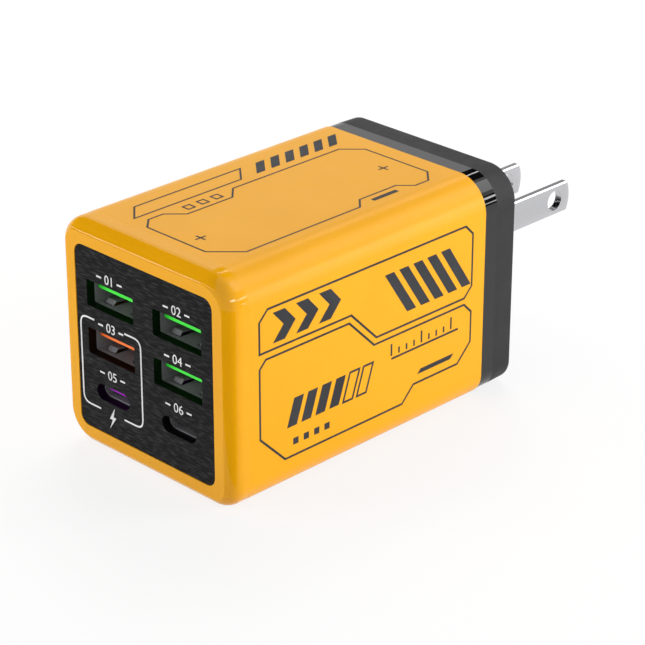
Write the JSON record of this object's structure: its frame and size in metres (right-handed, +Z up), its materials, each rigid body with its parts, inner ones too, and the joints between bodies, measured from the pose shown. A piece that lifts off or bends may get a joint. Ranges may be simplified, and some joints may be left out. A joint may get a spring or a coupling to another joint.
{
  "type": "multi port usb charger",
  "caption": "Box-shaped wall charger with rounded edges, a dark front panel of rectangular and oval sockets, and flat plug blades at the back.",
  "frame": {"origin": "centre of the whole charger's footprint, blades included, at the bottom face", "axes": "+Z up; -Y the way the sockets face; +Y the way the blades point; +X to the right of someone who looks at the sockets"},
  "size_m": [0.0444, 0.108, 0.0444],
  "materials": {
    "sleeve": "satin gloss, warm yellow",
    "panel": "brushed across",
    "ring": "piano gloss",
    "cap": "fine matte",
    "blade": "nickel plated",
    "socket_steel": "satin",
    "tongue_green": "moulded",
    "tongue_orange": "moulded",
    "tongue_purple": "moulded",
    "tongue_black": "moulded",
    "contact": "plated",
    "screw": "plated",
    "board": "solder mask",
    "ferrite": "fired and ground",
    "black_plastic": "moulded",
    "white_plastic": "moulded",
    "tape": "polyester tape",
    "capacitor_sleeve": "shrink sleeve",
    "aluminium": "plain",
    "copper_wire": "enamelled",
    "blue_coating": "dipped",
    "chip": "moulded"
  },
  "bodies": {
    "root": {"main_shell": "sleeve", "front_panel": "panel", "trim_ring": "ring", "rear_cap": "cap", "blade_left": "blade", "blade_right": "blade", "blade_holder": "white_plastic", "holder_screws": "screw", "ac_contact_left": "contact", "ac_contact_right": "contact", "usb_a_shell_1": "socket_steel", "usb_a_core_1": "tongue_green", "usb_a_contacts_1": "contact", "usb_a_shell_2": "socket_steel", "usb_a_core_2": "tongue_green", "usb_a_contacts_2": "contact", "usb_a_shell_3": "socket_steel", "usb_a_core_3": "tongue_orange", "usb_a_contacts_3": "contact", "usb_a_shell_4": "socket_steel", "usb_a_core_4": "tongue_green", "usb_a_contacts_4": "contact", "usb_c_shell_1": "socket_steel", "usb_c_core_1": "tongue_purple", "usb_c_contacts_1": "contact", "usb_c_shell_2": "socket_steel", "usb_c_core_2": "tongue_black", "usb_c_contacts_2": "contact", "port_board": "board", "main_board": "board", "output_board": "board", "header_pins": "contact", "link_pins": "contact", "transformer_core": "ferrite", "transformer_bobbin": "black_plastic", "transformer_winding": "tape", "bulk_capacitor_1": "capacitor_sleeve", "polymer_capacitor_1": "aluminium", "output_inductor_1": "ferrite", "bulk_capacitor_2": "capacitor_sleeve", "polymer_capacitor_2": "aluminium", "output_inductor_2": "ferrite", "bulk_capacitor_3": "capacitor_sleeve", "polymer_capacitor_3": "aluminium", "output_inductor_3": "ferrite", "choke_core": "ferrite", "choke_winding": "copper_wire", "x_capacitor": "tape", "y_capacitor": "blue_coating", "bridge_rectifier": "chip", "gan_switch": "chip", "controller_chip": "chip", "converter_chip_1": "chip", "converter_chip_2": "chip", "fuse": "white_plastic", "heat_spreader": "aluminium", "insulation_sheet": "white_plastic"}
  },
  "joints": []
}
